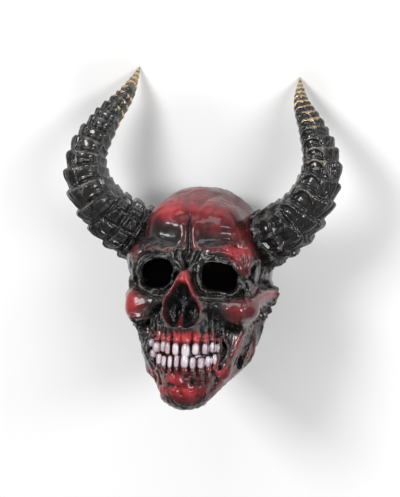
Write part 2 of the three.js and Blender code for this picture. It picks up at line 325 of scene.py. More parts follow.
FACE_DABS = [
    ((-28, 73), (15, 10.5), -3.0), ((29, 72), (19, 10), -3.6), ((-38, 98), (16, 12), 1.4),
    ((38, 98), (16, 12), 1.4), ((11, -107), (7, 5), 3.0), ((-10, -107), (8, 5), 2.6),
    ((7, -88), (2.8, 2.4), -4.0), ((13, -94), (2.6, 2.8), -4.5), ((20, -95), (3.4, 2.6), -4.0),
    ((17, -87), (2.0, 2.6), -3.0), ((3, -97), (4, 4), 1.8), ((-14, -93), (6, 5), 2.2),
    ((-44, -103), (2.4, 3), -2.8), ((0, 36), (2.5, 2.5), -2.0),
]
# The same on the sides, seen from the side: depth and height.
SIDE_FOLDS = [
    ([(50, -1), (35, 6), (10, 11), (-15, 15), (-40, 20)], 4.0, (0.6, 3.6)),
    ([(20, 24), (0, 20), (-18, 19)], 5.0, -8.0),
    ([(50, 12), (46, 28), (52, 48)], 3.4, 2.2),
    ([(42, 10), (36, 28), (40, 54)], 1.8, -2.0),
    ([(36, 14), (26, 28), (28, 50)], 3.0, 1.8),
    ([(18, 30), (12, 44), (16, 60)], 2.8, 1.8),
    ([(2, 30), (-4, 44), (0, 60)], 2.8, 1.6),
    ([(36, -34), (33, -56), (34, -82)], 1.6, 1.8),
    ([(14, -32), (14, -58), (26, -88)], 2.6, 2.0),
    ([(4, -32), (2, -54), (12, -76)], 2.6, 1.8),
    ([(-8, -30), (-12, -52)], 2.6, 1.6),
    ([(26, -40), (22, -58), (26, -82)], 2.6, -4.5),
    ([(48, -36), (44, -56), (40, -78)], 3.6, 2.4),
]
# A row of short ribs stands in a trough under each cheek arch. The trough and the ribs have a width
# and a height.
RIB_ROW = [(-24, 3), (-10, -8), (6, -15), (20, -20), (34, -27)]
RIB_COUNT, RIB_SLANT = 7, (5.0, 7.5)
RIB_TROUGH, RIB_SIZE = (7.0, -4.0), (2.4, 4.6)

front_u, front_v = (a.astype(np.float64) for a in np.meshgrid(grid_x, grid_y, indexing="ij"))
front_relief = np.zeros(front_u.shape, dtype=np.float32)
for fold in FACE_FOLDS:
    front_relief += stroke(front_u, front_v, *fold)
for fold in FACE_FOLDS_PAIR:
    front_relief += stroke(front_u, front_v, *fold)
    front_relief += stroke(-front_u, front_v, *fold)
for spot in FACE_DABS:
    front_relief += dab(front_u, front_v, *spot)

# The eye openings are rounded squares that droop a little outwards, each in a raised rim with a
# groove round it. The rim and the groove are placed in shares of the opening's half width.
EYE_AT = (37.0, 28.0)
EYE_HALF = (19.5, 16.5)
EYE_SQUARENESS = 2.8
EYE_SLANT = math.tan(math.radians(6))
EYE_RIM, EYE_RIM_WIDTH = 1.14, 0.13
EYE_GROOVE, EYE_GROOVE_WIDTH, EYE_GROOVE_DEPTH = 1.42, 0.10, 1.6


def bump(x, middle, width):
    """A soft bump of height 1 about the middle."""
    return np.exp(-((x - middle) / width) ** 2)


def eye_shape(u, v):
    """Below 1 inside the eye opening."""
    across = (np.abs(u) - EYE_AT[0]) / EYE_HALF[0]
    up = (v - EYE_AT[1] + EYE_SLANT * (np.abs(u) - EYE_AT[0])) / EYE_HALF[1]
    return (np.abs(across) ** EYE_SQUARENESS + np.abs(up) ** EYE_SQUARENESS) ** (1 / EYE_SQUARENESS)


# The gums stand in upright folds over the roots of the teeth. Each tooth has its left and right
# edge, its root line and its biting edge.
UPPER_TEETH = [(-43, -36, -49, -58), (-35, -26, -52, -63), (-25, -19.5, -50, -62), (-19, -13, -51, -64),
               (-10, -2, -51, -64.5), (1, 11, -51, -66), (13, 21, -50, -63), (23.5, 30, -50, -62),
               (31, 36, -48, -60), (36.8, 40.5, -50, -60)]
LOWER_TEETH = [(-39, -31, -70, -61), (-30, -24, -77, -65), (-23, -17.3, -79, -67), (-15, -9.5, -80, -66),
               (-7, -1, -79, -65), (1, 10, -79, -65), (11.5, 18, -79.5, -66), (19.5, 27, -78.5, -66),
               (27.5, 33, -77, -64.5), (33.5, 39, -74, -62)]
for teeth, reach in ((UPPER_TEETH, 15), (LOWER_TEETH, -10)):
    for (left, right, root, _), (after, *_) in zip(teeth, teeth[1:] + [(teeth[-1][1] + 2,)]):
        middle, gap = (left + right) / 2, (right + after) / 2
        fold = [(middle, root - 2), (middle * 1.02, root + reach * 0.5), (middle * 0.98, root + reach)]
        front_relief += stroke(front_u, front_v, fold, (right - left) * 0.27, (2.6, 0.8))
        groove = [(gap, root - 2), (gap * 1.03, root + reach * 0.5), (gap * 0.97, root + reach * 1.05)]
        front_relief += stroke(front_u, front_v, groove, 1.3, (-3.0, -0.8))

eye_front = eye_shape(front_u, front_v)
eye_turn = np.arctan2(front_v - EYE_AT[1], np.abs(front_u) - EYE_AT[0])
eye_hand = np.sign(front_u)
rope = 2.5 + 0.9 * np.sin(5 * eye_turn + eye_hand) + 0.7 * np.sin(11 * eye_turn + 2 * eye_hand)
front_relief += rope * bump(eye_front, EYE_RIM, EYE_RIM_WIDTH)
front_relief -= EYE_GROOVE_DEPTH * bump(eye_front, EYE_GROOVE, EYE_GROOVE_WIDTH)

side_u, side_v = (a.astype(np.float64) for a in np.meshgrid(grid_z, grid_y, indexing="ij"))
side_relief = np.zeros(side_u.shape, dtype=np.float32)
for fold in SIDE_FOLDS:
    side_relief += stroke(side_u, side_v, *fold)
side_relief += stroke(side_u, side_v, RIB_ROW, *RIB_TROUGH)
rib_row = smooth_path(RIB_ROW)
for k in np.linspace(0, len(rib_row) - 1, RIB_COUNT).astype(int):
    z, y = rib_row[k]
    rib = [(z - RIB_SLANT[0], y - RIB_SLANT[1]), (z, y), (z + RIB_SLANT[0], y + RIB_SLANT[1])]
    side_relief += stroke(side_u, side_v, rib, *RIB_SIZE)

clay -= front_relief[:, :, None] * ramp(grid_z, 0, 25)[None, None, :]
side_share = ramp(np.abs(grid_x), 52, 64)
clay -= side_relief.T[None, :, :] * side_share[:, None, None]

# The nose hollow, with the upright plate that is left in it.
carve_all(lump_pair((9, -15, 108), (13, 18, 33)), 4)
carve_out(lump((0, 3, 108), (11, 19, 28)), 4)
put_on(rod((-2, -4, 76), (-1, -33, 92), (3.0, 3.6)), 3)
put_all(rod_pair((13, -4, 76), (12, -24, 80), (2.8, 3)), 3)
put_all(rod_pair((8, 4, 78), (9, -8, 74), (2, 2.4)), 3)

# The teeth stand on an arch.
ARCH_WIDTH, ARCH_DEPTH, ARCH_BACK = 43.0, 45.0, 46.0
TOOTH_DEPTH = 4.6


def arch_place(x):
    """The depth of the tooth row at a place across, and the way a tooth there faces."""
    angle = math.asin(max(-1.0, min(1.0, x / ARCH_WIDTH)))
    return ARCH_BACK + ARCH_DEPTH * math.cos(angle), angle


# A trough is cut for the bite first, so that the teeth stand in shadow.
BITE_HALF, BITE_HEIGHT, BITE_RISE = 41, -64, 4
for x in np.linspace(-BITE_HALF, BITE_HALF, 36):
    depth, angle = arch_place(x)
    bite = BITE_HEIGHT + BITE_RISE * (x / BITE_HALF) ** 2
    carve_out(lump((x, bite, depth - 1), (4, 13, 5)), 3)
for row, teeth in ((1, UPPER_TEETH), (-1, LOWER_TEETH)):
    for left, right, root, edge in teeth:
        x, half = (left + right) / 2, (right - left) / 2
        depth, angle = arch_place(x)
        half = half / max(math.cos(angle), 0.45)
        middle = (root + edge) / 2
        size = (half + 0.15, abs(root - edge) / 2 + 1.2, TOOTH_DEPTH)
        put_on(lump((x, middle, depth - 2.0), size, 2.5, -angle), 0.6)
        gum = (x, root + row * 3.0, depth - 2.4)
        put_on(lump(gum, (half * 0.98, 4.0, 4.2), 2, -angle), 1.6)

# The skin as it is on the outside is kept for the paint work, and a softer one, which tells how far
# each place stands proud of its surroundings.
outside = np.clip(clay, -14, 14)
fine_soft = softened(outside, 1)

# How the mask lies: tipped back, so that its horn tips and the back of its head share the table's
# level.
REST_TILT = math.radians(15.5)
HORN_TIP = (98.0, 276.0, -47.5)
tilt_sin = math.sin(REST_TILT)
tilt_cos = math.cos(REST_TILT)
table_level = HORN_TIP[2] * tilt_cos - HORN_TIP[1] * tilt_sin
tip_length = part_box("horn_left_hand")[1][1] * 1000
length_shift = tip_length - HORN_TIP[1] * tilt_cos - HORN_TIP[2] * tilt_sin


def lay_down(points):
    """Upright points in millimetres, as places on the table in metres."""
    x, y, z = np.asarray(points, dtype=np.float64).T
    length = y * tilt_cos + z * tilt_sin + length_shift
    height = z * tilt_cos - y * tilt_sin - table_level
    return np.stack([x, length, height], axis=-1) / 1000


# The hollow: cast latex follows the mould, but its inside is softer. The back of the head lies flat
# on the table.
table = (grid_z * tilt_cos)[None, None, :] - (grid_y * tilt_sin)[None, :, None] - table_level
hollow = np.maximum(np.maximum(softened(outside, 2), outside) + WALL, WALL - table)
clay = np.maximum(np.maximum(clay, -table), -hollow)

# The neck opening and the eye openings are trimmed with scissors.
RIM = [(-140, -60), (-60, -60), (-12, -70), (26, -112), (44, -150)]
RIM_LEAN = 0.72
NECK_HALF, NECK_MIDDLE, NECK_TOP = (46, 60), -22, -82
EYE_REACH, EYE_BACK = 16, 10
rim_height = np.interp(grid_z, [p[0] for p in RIM], [p[1] for p in RIM])
below_rim = (grid_y[:, None] - rim_height[None, :]) * RIM_LEAN
neck_across = grid_x[:, None] / NECK_HALF[0]
neck_along = (grid_z[None, :] - NECK_MIDDLE) / NECK_HALF[1]
neck_oval = (np.hypot(neck_across, neck_along) - 1) * NECK_HALF[0]
neck = np.minimum(below_rim[None, :, :],
                  np.maximum(neck_oval[:, None, :], (grid_y - NECK_TOP)[None, :, None]))
clay = np.maximum(clay, -neck)
eyes = (eye_front - 1) * EYE_REACH
clay = np.maximum(clay, -np.maximum(eyes[:, :, None], (EYE_BACK - grid_z)[None, None, :]))


def read_field(field, points):
    """A field's value at each point."""
    p = np.clip((points - BLOCK_LOW) / VOXEL, 0, block_count - 1.001)
    c = p.astype(int)
    f = p - c
    out = np.zeros(len(points))
    for corner in range(8):
        d = np.array([corner & 1, corner >> 1 & 1, corner >> 2 & 1])
        weight = np.prod(np.where(d, f, 1 - f), axis=1)
        i, j, k = (c + d).T
        out += weight * field[i, j, k]
    return out


def skin_from(field, band=3.0):
    """The closed surface where the field is zero, as points and quads."""
    grid = openvdb.FloatGrid(band)
    grid.copyFromArray(np.ascontiguousarray(np.clip(field, -band, band)))
    points, quads = grid.convertToQuads(0.0)
    return points.astype(np.float64) * VOXEL + BLOCK_LOW, quads.astype(np.int64)


points, quads = skin_from(clay)
quads = quads[:, ::-1]


def point_normals(points, quads):
    corner = points[quads]
    normal = np.cross(corner[:, 2] - corner[:, 0], corner[:, 3] - corner[:, 1])
    out = np.stack([np.bincount(quads.ravel(), np.repeat(side, 4), len(points)) for side in normal.T],
                   axis=-1)
    return out / np.maximum(np.linalg.norm(out, axis=1, keepdims=True), 1e-9)


LATTICE = np.random.default_rng(11).random((32, 32, 32)).astype(np.float32)


def grain(points, size, stretch=(1, 1, 1), octaves=3):
    """Soft lumps from -1 to 1 at each point. Size is their width in millimetres."""
    p = points / (size * np.array(stretch))
    total, weight, whole = np.zeros(len(points)), 1.0, 0.0
    for _ in range(octaves):
        cell = np.floor(p).astype(int)
        f = p - cell
        f = f * f * (3 - 2 * f)
        value = np.zeros(len(points))
        for corner in range(8):
            d = np.array([corner & 1, corner >> 1 & 1, corner >> 2 & 1])
            i, j, k = ((cell + d) & 31).T
            value += np.prod(np.where(d, f, 1 - f), axis=1) * LATTICE[i, j, k]
        total += weight * (2 * value - 1)
        whole += weight
        weight *= 0.5
        p = p * 2.03 + 17.3
    return total / whole


def ridges(points, size, stretch=(1, 1, 1), octaves=2):
    """Sharp crests between soft hollows, from 0 to 1."""
    return 1 - np.abs(grain(points, size, stretch, octaves)) * 2.2


# The spray work on the bare red latex, seen from the front: place, size and strength. Red is what
# the black spray left open, and black is what it covered on top of that.
RED_SPRAY = [
    ((-4, 118), (95, 32), 1.0), ((0, 104), (72, 17), 0.97), ((-66, 82), (15, 20), 0.5),
    ((30, 78), (34, 9), 0.42), ((60, 84), (14, 20), 0.62),
    ((58, 55), (16, 12), 1.0), ((-71, 50), (14, 10), 0.5), ((2, 23), (5.5, 7), 0.95),
    ((-76, -12), (23, 19), 1.0), ((60, -12), (15, 13), 0.86), ((76, -2), (10, 15), 0.9),
    ((-1, -42), (45, 8), 1.0), ((0, -58), (40, 14), 0.45), ((0, -88), (38, 10), 0.9),
    ((0, -106), (46, 17), 1.0), ((-50, -96), (22, 24), 0.88), ((41, -80), (11, 12), 0.97),
    ((34, -96), (13, 14), 0.7), ((-3, -21), (3.6, 13), 0.8),
]
RED_LINES = [
    ([(7, 92), (5, 76), (7, 62)], 5.0, 0.75), ([(-9, 82), (-8, 64)], 4.0, 0.5),
    ([(-36, 60), (-22, 57), (-12, 56)], 3.6, 0.45), ([(-62, 54), (-46, 56)], 4.0, 0.6),
    ([(9, 62), (22, 58), (36, 60), (48, 63)], 3.8, 0.6), ([(44, 64), (54, 54), (65, 34)], 5.0, 1.0),
    ([(68, 66), (71, 52), (67, 36)], 4.6, 0.95),
    ([(0, 31), (5, 20), (13, 9), (19, -1), (22, -10)], (4.4, 2.6), 1.0),
    ([(0, 29), (-7, 17), (-12, 9)], (3.0, 1.4), 0.6),
    ([(-8, 18), (-12, 11), (-18, 1), (-22, -9), (-21, -21), (-15, -29)], 2.0, 0.75),
    ([(22, -10), (20, -21), (14, -29)], 1.4, 0.5), ([(-2, -28), (0, -38)], 3.4, 0.9),
    ([(68, -26), (60, -45), (54, -60), (47, -74), (40, -86)], 4.6, 0.9),
    ([(-68, -50), (-62, -80), (-48, -100)], 7.0, 0.5), ([(72, 2), (76, -8), (72, -22)], 3.0, 0.8),
]
SOOT_SPRAY = [
    ((-4, 97), (13, 3), 0.25), ((-31, 72), (26, 15), 0.8), ((30, 70), (23, 8), 0.72),
    ((57, 42), (4, 4.5), 0.6), ((60, 50), (3, 4), 0.5), ((4, -128), (38, 9), 0.9),
    ((14, -90), (12, 7), 0.45), ((-22, -92), (9, 6), 0.35), ((30, -104), (7, 12), 0.5),
    ((-50, 4), (14, 12), 0.6), ((-44, -72), (9, 9), 1.0), ((-60, -48), (16, 16), 0.95),
    ((-62, 16), (20, 8), 0.9), ((54, 30), (9, 9), 0.5), ((33, -14), (10, 15), 0.9),
    ((-56, -15), (9, 6), 0.5), ((-34, -16), (13, 13), 1.0), ((-66, -34), (22, 7), 0.9),
    ((58, -33), (12, 7), 0.9), ((67, -29), (12, 6), 0.95),
]
SOOT_LINES = [
    ([(-1, 92), (-1, 80), (0, 62), (0, 40)], (1.6, 5.5), (0.8, 1.0)),
    ([(43, -40), (49, -52), (49, -64), (42, -76)], 4.6, 1.0),
    ([(47, 45), (53, 37), (58, 30), (65, 26), (72, 32), (77, 46)], 2.8, 1.0),
    ([(-43, -42), (-49, -52), (-49, -64), (-42, -76)], 5.6, 1.0),
    ([(66, -42), (60, -60), (55, -78)], 1.8, 0.9), ([(-27, -101), (-10, -100)], 1.4, 0.35),
    ([(-3, -102), (1, -110)], 1.4, 0.25), ([(25, -82), (27, -98)], 1.3, 0.5),
    ([(6, -87), (9, -89)], 2.0, 0.7), ([(13, -92), (14, -96)], 2.0, 0.7),
    ([(19, -94), (21, -98)], 2.2, 0.7), ([(16, -84), (20, -89)], 1.8, 0.7),
    ([(-38, -84), (-36, -100)], 1.4, 0.4),
    ([(38, -88), (32, -104), (20, -119)], 2.4, 0.6), ([(22, 100), (30, 108)], 3.4, 0.25),
]
BRIGHT_SPRAY = [
    ((-26, 104), (22, 14), 0.62), ((30, 108), (26, 14), 0.30), ((55, 59), (11, 8), 0.7),
    ((-70, -6), (24, 15), 1.2), ((4, 20), (9, 12), 0.8), ((0, -44), (48, 7), 1.15),
    ((-16, -108), (20, 8), 0.5), ((12, -107), (14, 7), 0.6), ((40, -78), (9, 9), 1.0),
    ((-10, -93), (12, 8), 0.7), ((60, -10), (12, 10), 0.1),
]
# The same seen from the side, as depth and height.
SIDE_RED = [
    ([(64, -4), (40, 2), (14, 8), (-14, 12), (-36, 16)], 8.0, 1.0),
    ([(44, -30), (38, -60), (42, -86)], 8.0, 0.5), ([(8, -60), (34, -92), (52, -112)], 12.0, 0.55),
    ([(46, 44), (44, 62)], 8.0, 0.35), ([(34, -34), (26, -60), (30, -84)], 9.0, 0.5),
    ([(10, -30), (0, -50)], 8.0, 0.2),
]
SIDE_SOOT = [
    ([(22, 24), (0, 22), (-20, 20)], 6.0, 1.0), (RIB_ROW, 9.0, 1.0),
    ([(26, -42), (22, -60), (28, -84)], 3.0, 0.9),
]


def spray(u, v, at, size, strength):
    """A flat-topped round spot with a soft edge."""
    out = ((u - at[0]) / size[0]) ** 2 + ((v - at[1]) / size[1]) ** 2
    return strength * np.exp(-out ** 1.5)


def laid_on(u, v, spots=(), lines=()):
    """How far each place is covered by spots and lines of paint, one laid over the other."""
    share = np.zeros(len(u))
    for spot in spots:
        share = 1 - (1 - share) * (1 - spray(u, v, *spot))
    for line in lines:
        share = 1 - (1 - share) * (1 - stroke(u, v, *line))
    return share


def paint_work(points):
    """How far each point is black, and how far its red is bright."""
    x, y, z = points.T
    open_red = laid_on(x, y, RED_SPRAY, RED_LINES)
    covered = laid_on(x, y, SOOT_SPRAY, SOOT_LINES)
    side = ramp(np.abs(x), 56, 70) * (1 - 0.8 * ramp(z, 28, 46))
    side_open = laid_on(z, y, lines=SIDE_RED)
    side_covered = laid_on(z, y, lines=SIDE_SOOT)
    open_red = np.maximum(open_red * (1 - 0.6 * side), side_open * side)
    covered = np.maximum(covered * (1 - 0.6 * side), side_covered * side)
    open_red *= ramp(z + 3 * grain(points + 60, 8), -27, -16)
    black_and_shade = 1 - open_red * (1 - covered)
    # The black runs down over the gums in upright streaks.
    streaks = grain(points, 2.7, (1, 7, 4), 2)
    gum = spray(x, y, (0, -38), (50, 8), 1.0) + 0.7 * spray(x, y, (0, -86), (36, 8), 1.0)
    gum *= ramp(z, 30, 50)
    black_and_shade = np.clip(black_and_shade + gum * np.clip(1.6 * streaks + 0.06 * (y + 42) * (y > -60), -0.3, 0.9), 0, 1)
    black_and_shade += (0.22 * grain(points, 15) + 0.12 * grain(points + 9, 4)) * 4 * black_and_shade * (1 - black_and_shade)
    bright = sum(spray(x, y, *spot) for spot in BRIGHT_SPRAY) * (1 - 0.8 * side)
    bright = np.clip(bright + 0.3 * side * side_open + 0.3 * grain(points + 70, 9), 0, 1)
    return np.clip(black_and_shade, 0, 1), bright


def worked(points):
    """Where the clay was left smooth, and where the teeth are."""
    x, y, z = points.T
    calm = np.clip(ramp(y, 56, 80) + 0.85 * ramp(-z, 5, 30), 0, 1)
    cheek = np.maximum(spray(np.abs(x), y, (64, -8), (28, 18), 1.0),
                       spray(np.abs(x), y, (40, -7), (25, 12), 1.0))
    calm = np.maximum(calm, 0.92 * cheek * ramp(z, 0, 20))
    teeth = ramp(y, -82, -78) * (1 - ramp(y, -52, -48)) * (1 - ramp(np.abs(x), 38, 44)) * ramp(z, 50, 60)
    return calm, teeth


# The wrinkles that the clay was worked with move each point of the outside along its normal.
normals = point_normals(points, quads)
is_outer = 1 - ramp(np.abs(read_field(outside, points)), 0.6, 1.6)
is_outer *= ramp(read_field(np.broadcast_to(table, block_count), points), 0.5, 3)
x, y, z = points.T
black_and_shade, bright = paint_work(points)
maxilla = dab(np.abs(x), y, (34, -28), (15, 13)) * ramp(z, 20, 40)
jaw_side = ramp(np.abs(x), 45, 60) * ramp(-y, 25, 40) * ramp(z, -10, 5)
calm, tooth_zone = worked(points)
rough = (1 - calm) * (1 - tooth_zone)
shift = (0.7 * grain(points, 14) + 0.2 * grain(points + 40, 5)) * (1 - 0.4 * calm) * (1 - tooth_zone)
# Wrinkles where the black lies, upright strands on the upper jaw and the sides of the lower one.
shift += rough * black_and_shade * (0.75 * (ridges(points, 8.5) - 0.5) + 0.25 * (ridges(points + 31, 4) - 0.5))
shift += grain(points, 3.4, (1, 7, 1), 2) * (0.7 * maxilla + 0.8 * jaw_side)
# Wrinkles on the chin and over the crown, and soft lumps behind the crown.
shift += 0.55 * (ridges(points + 55, 5.5, (1, 1.6, 1)) - 0.5) * ramp(-y, 82, 92) * ramp(z, 10, 30)
shift += 0.6 * (ridges(points + 75, 15, (0.8, 1.2, 1)) - 0.5) * ramp(y, 98, 116) * ramp(z, -30, -5)
shift += 1.5 * grain(points + 90, 9) * ramp(y, 98, 112) * ramp(-z, 4, 16)
points = points + normals * (shift * is_outer)[:, None]

# The crown leans a little to the viewer's left.
CROWN_LEAN = 4.0
points[:, 0] -= CROWN_LEAN * ramp(points[:, 1], 75, 135)


def add_object(name, data):
    piece = bpy.data.objects.new(name, data)
    bpy.context.scene.collection.objects.link(piece)
    return piece


def set_places(mesh, places):
    mesh.vertices.foreach_set("co", places.astype(np.float32).ravel())


def make_mesh(name, points, faces):
    mesh = bpy.data.meshes.new(name)
    sides = faces.shape[1]
    mesh.vertices.add(len(points))
    set_places(mesh, points)
    mesh.loops.add(len(faces) * sides)
    mesh.loops.foreach_set("vertex_index", faces.astype(np.int32).ravel())
    mesh.polygons.add(len(faces))
    mesh.polygons.foreach_set("loop_start", np.arange(0, len(faces) * sides, sides, dtype=np.int32))
    mesh.update(calc_edges=True)
    mesh.validate()
    return add_object(name, mesh)


def with_modifiers_applied(piece):
    """The piece's mesh is replaced by what its modifiers make of it."""
    graph = bpy.context.evaluated_depsgraph_get()
    mesh = bpy.data.meshes.new_from_object(piece.evaluated_get(graph))
    piece.modifiers.clear()
    old = piece.data
    piece.data = mesh
    bpy.data.meshes.remove(old)


def turned_outwards(piece):
    """A piece that its shaping left inside out has its faces turned round, and its shape stays."""
    shape = bmesh.new()
    shape.from_mesh(piece.data)
    if shape.calc_volume(signed=True) < 0:
        bmesh.ops.reverse_faces(shape, faces=shape.faces)
    shape.to_mesh(piece.data)
    shape.free()


def coordinates(piece):
    values = np.empty(len(piece.data.vertices) * 3, dtype=np.float32)
    piece.data.vertices.foreach_get("co", values)
    return values.reshape(-1, 3).astype(np.float64)


# The mesh gets fewer faces, above all on the plain inside and back.
SKIN_TRIANGLES = 190000
skull = make_mesh("skull_skin_painted", points, quads)
plain = skull.vertex_groups.new(name="plain")
plainness = np.clip(1 - 0.5 * is_outer * ramp(z, -50, -20), 0, 1)
for level in (0.5, 0.75, 1.0):
    chosen = np.nonzero(np.abs(plainness - level) <= 0.125)[0]
    plain.add(chosen.tolist(), level, "REPLACE")
thin = skull.modifiers.new("fewer faces", "DECIMATE")
thin.ratio = SKIN_TRIANGLES / (2 * len(quads))
thin.vertex_group = "plain"
thin.vertex_group_factor = 0.02
with_modifiers_applied(skull)
turned_outwards(skull)
skull.vertex_groups.clear()

# The paint: soft masks for the black spray, the bright red and the teeth, as the painter laid them on,
# seen from the front and from the side, and painted shade in the hollows.
at = coordinates(skull)
x, y, z = at.T
cavity = -read_field(fine_soft, at) / 0.8
lining = ramp(-read_field(outside, at), 1.6, 2.6)

black_and_shade, bright = paint_work(at)
cheeks = np.maximum(spray(x, y, (-62, -8), (26, 19), 0.9), spray(x, y, (58, -10), (22, 15), 0.9))
cheeks *= ramp(z, 20, 40)
stained = spray(x, y, (-16, -66), (17, 14), 0.8) * ramp(grain(at + 20, 7), -0.3, 0.3)
black_and_shade *= 1 - stained
# The black is laid darker into the creases and hollows, less so on the upper forehead and crown, and not
# on the cheeks: painted shade.
black_and_shade = np.clip(black_and_shade + (0.85 - 0.45 * ramp(y, 80, 90)) * (1 - 0.8 * stained) * (1 - cheeks)
               * ramp(cavity, 0.14, 0.6), 0, 1)
# The inside of the nose hollow is made black from a little way in to its bottom, and so is the inside of
# the skin.
in_nose = ramp(1.02 - np.hypot(x / 21, (y + 8) / 25), 0, 0.2) * (1 - ramp(z, 83, 90)) * ramp(z, 60, 64)

tooth = np.zeros(len(at))
for row, teeth in ((1, UPPER_TEETH), (-1, LOWER_TEETH)):
    for left, right, root, edge in teeth:
        across = np.abs(x - (left + right) / 2) / ((right - left) / 2 + 0.3)
        up = (y - (root + edge) / 2) / (abs(root - edge) / 2 + 0.4)
        crown = (across ** 3.6 + np.abs(up) ** np.where(up * row > 0, 2.6, 5.0)) ** (1 / 3.6)
        tooth = np.maximum(tooth, 1 - ramp(crown, 0.78, 0.98))
# The white of the teeth stops short of the creases between them, so the painted shade there shows.
tooth *= ramp(z, 50, 56) * (1 - ramp(cavity, 0.1, 0.5))


def set_mask(piece, name, values):
    layer = piece.data.attributes.new(name, "FLOAT", "POINT")
    layer.data.foreach_set("value", np.asarray(values, dtype=np.float32))


def laid_down(piece):
    """The piece is laid on the table and shaded smooth."""
    set_places(piece.data, lay_down(coordinates(piece)))
    piece.data.polygons.foreach_set("use_smooth", np.ones(len(piece.data.polygons), dtype=bool))
    piece.data.update()


chin = ramp(-y, 84, 96)
calm, tooth_zone = worked(at)
wrinkled = (1 - calm) * (1 - tooth_zone) * (0.25 + 0.75 * black_and_shade) * (1 - 0.6 * chin)
coat = (0.9 - 0.75 * np.maximum(0.8 * in_nose, lining) - 0.4 * ramp(y, 52, 70)
        - 0.2 * ramp(y, 88, 112) - 0.4 * ramp(-y, 84, 98) - 0.55 * cheeks * (x < 0))
set_mask(skull, "black_and_shade", black_and_shade)
set_mask(skull, "bright", bright)
set_mask(skull, "black_inside", np.maximum(in_nose, lining))
# How far each place stands proud: it takes the grey, which is partly a painted highlight.
set_mask(skull, "proud", np.clip(-cavity, 0, 1) * (1 - 0.8 * chin))
set_mask(skull, "coat", coat)
set_mask(skull, "tooth", tooth)
set_mask(skull, "wrinkled", wrinkled)
laid_down(skull)


def new_material(name):
    material = bpy.data.materials.new(name)
    material.use_nodes = True
    return material, material.node_tree, material.node_tree.nodes["Principled BSDF"]


def feed(node, inputs):
    """Each of a node's inputs gets a value, or a link to a socket."""
    for name, value in dict(inputs).items():
        if isinstance(value, bpy.types.NodeSocket):
            node.id_data.links.new(value, node.inputs[name])
        else:
            node.inputs[name].default_value = value


def add_node(tree, kind, inputs=(), **settings):
    """A new node. Its settings are made before its inputs are fed."""
    node = tree.nodes.new(kind)
    for name, value in settings.items():
        setattr(node, name, value)
    feed(node, inputs)
    return node


def mask_node(tree, name):
    return add_node(tree, "ShaderNodeAttribute", attribute_name=name).outputs["Fac"]


def math_in(tree, operation, total, *values):
    """A sum in a node tree, of numbers and sockets, taken from left to right."""
    for value in values or (0.0,):
        total = add_node(tree, "ShaderNodeMath", {0: total, 1: value}, operation=operation).outputs[0]
    return total


def vector_in(tree, operation, *values, output=0):
    node = add_node(tree, "ShaderNodeVectorMath", enumerate(values), operation=operation)
    return node.outputs[output]


def coats_on(tree, base, *coats):
    """Coats of colour laid over a base, each through its mask. A colour may be a socket."""
    for mask, colour in coats:
        base, colour = ((*c, 1) if isinstance(c, tuple) else c for c in (base, colour))
        base = add_node(tree, "ShaderNodeMix", {0: mask, 6: base, 7: colour}, data_type="RGBA").outputs[2]
    return base


def noise_in(tree, where, size, detail):
    """Soft noise from 0 to 1, with lumps of about the given size in metres."""
    scale = math_in(tree, "DIVIDE", 1.0, size)
    inputs = {"Vector": where, "Scale": scale, "Detail": detail}
    return add_node(tree, "ShaderNodeTexNoise", inputs).outputs[0]


def spread_in(tree, value, low, high):
    """The value spread softly from 0 at low to 1 at high."""
    inputs = {0: value, 1: low, 2: high}
    return add_node(tree, "ShaderNodeMapRange", inputs, interpolation_type="SMOOTHSTEP").outputs[0]


def crests_in(tree, noise, amount):
    """Sharp crests where the noise is halfway."""
    lines = math_in(tree, "ABSOLUTE", math_in(tree, "SUBTRACT", noise, 0.5))
    crest = math_in(tree, "SUBTRACT", 1.0, math_in(tree, "MULTIPLY", lines, 5.0))
    return math_in(tree, "MULTIPLY", crest, amount)


def shader_group(name, inputs, outputs):
    """A new group of shader nodes: its tree, its inputs, its output node, and places on the piece."""
    tree = bpy.data.node_groups.new(name, "ShaderNodeTree")
    for way, labels in (("INPUT", inputs), ("OUTPUT", outputs)):
        for label in labels:
            tree.interface.new_socket(label, in_out=way, socket_type="NodeSocketFloat")
    where = tree.nodes.new("ShaderNodeTexCoord").outputs["Object"]
    return tree, tree.nodes.new("NodeGroupInput").outputs, tree.nodes.new("NodeGroupOutput"), where


def latex_grain_group():
    """Cast latex under brushed gloss: pores, clouds in the paint, and gloss that comes and goes."""
    tree, given, out, where = shader_group(
        "latex grain", ("Pore Size", "Cloud Size", "Smooth", "Rough"), ("Clouds", "Roughness", "Height"))
    pores = noise_in(tree, where, given["Pore Size"], 4.0)
    clouds = noise_in(tree, where, given["Cloud Size"], 4.0)
    gloss = math_in(tree, "MULTIPLY", spread_in(tree, clouds, 0.35, 0.7), 0.7)
    uneven = math_in(tree, "ADD", gloss, math_in(tree, "MULTIPLY", pores, 0.3))
    span = math_in(tree, "SUBTRACT", given["Rough"], given["Smooth"])
    rough = math_in(tree, "ADD", given["Smooth"], math_in(tree, "MULTIPLY", span, uneven))
    feed(out, {"Clouds": spread_in(tree, clouds, 0.3, 0.7), "Roughness": rough, "Height": pores})
    return tree


def dry_brush_and_highlight_group():
    """A dry brush drawn over the relief: it catches what stands proud, in broken patches. The grey and
    brown it lays on edges are partly painted highlight.
    """
    tree, given, out, where = shader_group(
        "dry brush", ("Proud", "Start", "Full", "Streak Size", "Broken"), ("Mask",))
    streaks = math_in(tree, "SUBTRACT", noise_in(tree, where, given["Streak Size"], 5.0), 0.5)
    proud = math_in(tree, "ADD", given["Proud"], math_in(tree, "MULTIPLY", streaks, given["Broken"]))
    feed(out, {"Mask": spread_in(tree, proud, given["Start"], given["Full"])})
    return tree


